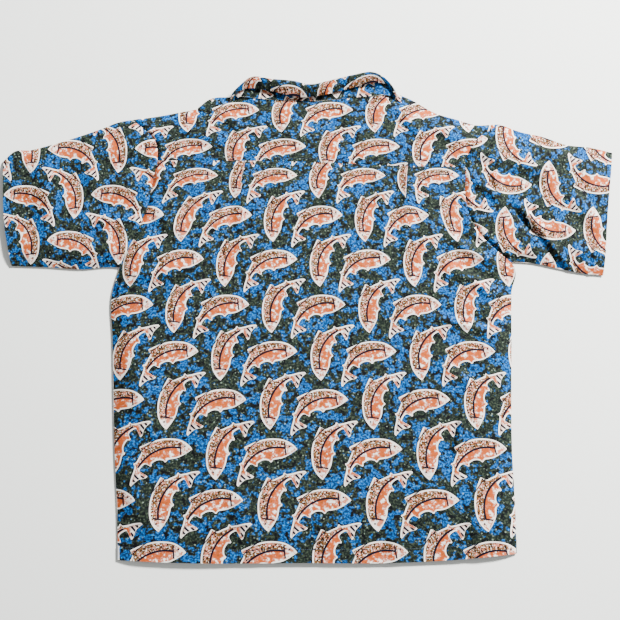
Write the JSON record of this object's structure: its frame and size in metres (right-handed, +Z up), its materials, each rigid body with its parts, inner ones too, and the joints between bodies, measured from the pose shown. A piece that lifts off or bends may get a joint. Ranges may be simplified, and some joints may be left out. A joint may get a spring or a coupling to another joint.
{
  "type": "short-sleeved camp shirt",
  "caption": "Short-sleeved button-front camp shirt in an all-over fish print, laid flat with its back up; the sleeves fold over the back and the collar leaf turns.",
  "frame": {"origin": "on the surface the shirt lies on, under the middle of its length and width", "axes": "+Z up, out of the shirt's back; +Y from the hem towards the collar; +X across the chest, towards the wearer's right sleeve"},
  "size_m": [0.94, 0.7568, 0.0385],
  "materials": {
    "printed_cotton": "soft plain weave, printed all over with fish on a mottled blue and olive ground",
    "interfacing": "matt bonded cloth",
    "woven_tape": "smooth woven tape, blank",
    "button_resin": "polished cast resin with a faint swirl",
    "sewing_thread": "twisted polyester thread"
  },
  "bodies": {
    "torso": {"back_panel": "printed_cotton", "back_yoke": "printed_cotton", "yoke_lining": "printed_cotton", "left_front": "printed_cotton", "right_front": "printed_cotton", "left_front_facing": "printed_cotton", "right_front_facing": "printed_cotton", "left_front_hem": "printed_cotton", "right_front_hem": "printed_cotton", "back_hem": "printed_cotton", "left_side_seam": "printed_cotton", "right_side_seam": "printed_cotton", "chest_pocket": "printed_cotton", "pocket_hem": "printed_cotton", "left_armhole_seam": "printed_cotton", "right_armhole_seam": "printed_cotton", "left_sleeve_cap": "printed_cotton", "right_sleeve_cap": "printed_cotton", "under_collar_stand": "printed_cotton", "upper_collar_stand": "printed_cotton", "stand_interfacing": "interfacing", "left_collar_point": "printed_cotton", "right_collar_point": "printed_cotton", "buttons": "button_resin", "button_threads": "sewing_thread", "neck_tape": "woven_tape", "care_label": "woven_tape", "yoke_topstitch": "sewing_thread", "hem_topstitch": "sewing_thread"},
    "left_sleeve_fold_body": {"left_sleeve": "printed_cotton", "left_sleeve_hem": "printed_cotton", "left_underarm_seam": "printed_cotton", "left_sleeve_topstitch": "sewing_thread"},
    "right_sleeve_fold_body": {"right_sleeve": "printed_cotton", "right_sleeve_hem": "printed_cotton", "right_underarm_seam": "printed_cotton", "right_sleeve_topstitch": "sewing_thread"},
    "collar_leaf": {"under_collar_leaf": "printed_cotton", "upper_collar_leaf": "printed_cotton", "leaf_interfacing": "interfacing"}
  },
  "joints": [
    {"name": "left_sleeve_fold", "type": "hinge", "parent": "torso", "child": "left_sleeve_fold_body", "pos_m": [-0.308, 0.19, 0.0126], "axis": [0, 1, 0], "range_deg": [0, 175]},
    {"name": "right_sleeve_fold", "type": "hinge", "parent": "torso", "child": "right_sleeve_fold_body", "pos_m": [0.308, 0.19, 0.0126], "axis": [0, -1, 0], "range_deg": [0, 175]},
    {"name": "collar_turn", "type": "hinge", "parent": "torso", "child": "collar_leaf", "pos_m": [0, 0.3664, 0.0145], "axis": [1, 0, 0], "range_deg": [-70, 35], "stiffness_Nm_per_rad": 0.03}
  ]
}
